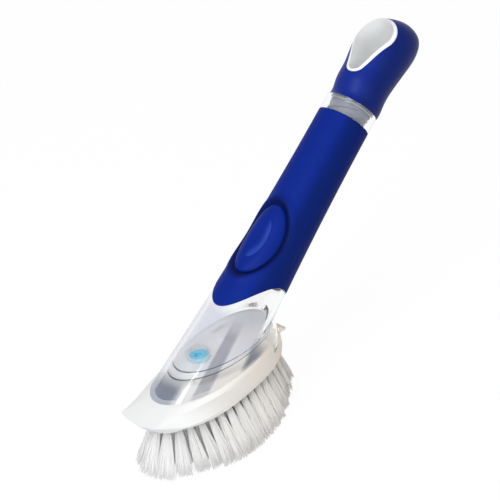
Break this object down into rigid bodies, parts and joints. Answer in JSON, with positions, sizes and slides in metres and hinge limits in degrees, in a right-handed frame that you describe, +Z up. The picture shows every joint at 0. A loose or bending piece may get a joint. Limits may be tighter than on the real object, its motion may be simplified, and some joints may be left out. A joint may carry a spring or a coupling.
{
  "type": "soap dispensing dish wand",
  "caption": "Dish brush with a clear soap tank as handle, soft grip with push button, screw cap with hang hole, and a bristle head that unhooks forward, held by a latch.",
  "frame": {"origin": "middle of the bounding box, on the plane of the lowest bristle tips", "axes": "+X from the nose of the brush head along its length towards the handle's end, +Z up from the bristle tips, +Y across the head"},
  "size_m": [0.2368, 0.0609, 0.1684],
  "materials": {
    "clear_plastic": "clear, glossy",
    "silicone": "translucent, satin",
    "soft_grip": "soft touch, satin",
    "blue_cap": "satin",
    "white_plastic": "semi gloss",
    "bristle": "translucent fibre",
    "wire": "drawn"
  },
  "bodies": {
    "wand": {"tank_shell": "clear_plastic", "foot_plate": "clear_plastic", "outlet_valve": "silicone", "valve_retainer": "white_plastic", "grip_sleeve": "soft_grip", "button_bellows": "soft_grip"},
    "button": {"button_pad": "soft_grip"},
    "cap_ring": {"cap_seal": "silicone"},
    "cap": {"cap_skin": "blue_cap", "cap_core": "white_plastic"},
    "head": {"head_carrier": "white_plastic", "tuft_block": "white_plastic", "tufts_nose": "bristle", "tufts_left": "bristle", "tufts_right": "bristle", "tufts_rear": "bristle", "tufts_second_left": "bristle", "tufts_second_right": "bristle", "tufts_inner": "bristle", "tufts_centre": "bristle", "tuft_anchors": "wire"},
    "latch": {"latch_arm": "white_plastic"}
  },
  "joints": [
    {"name": "button_press", "type": "slide", "parent": "wand", "child": "button", "axis": [0.57, 0, -0.8216], "range_m": [0, 0.0025], "stiffness_N_per_m": 2000, "deforming": ["button_bellows"]},
    {"name": "cap_lift", "type": "slide", "parent": "wand", "child": "cap_ring", "axis": [0.8216, 0, 0.57], "range_m": [0, 0.02]},
    {"name": "cap_turn", "type": "hinge", "parent": "cap_ring", "child": "cap", "pos_m": [0.0664, 0, 0.13162], "axis": [0.8216, 0, 0.57], "range_deg": [0, 360]},
    {"name": "head_slide", "type": "slide", "parent": "wand", "child": "head", "axis": [-1, 0, 0], "range_m": [0, 0.011], "deforming": ["latch_arm"]},
    {"name": "latch_press", "type": "hinge", "parent": "head", "child": "latch", "pos_m": [-0.02943, 0, 0.03547], "axis": [0, 1, 0], "range_deg": [0, 9], "stiffness_Nm_per_rad": 0.6}
  ],
  "couplings": [
    {"joint": "cap_lift", "follows": "cap_turn", "m_per_rad": 0.0031831}
  ]
}
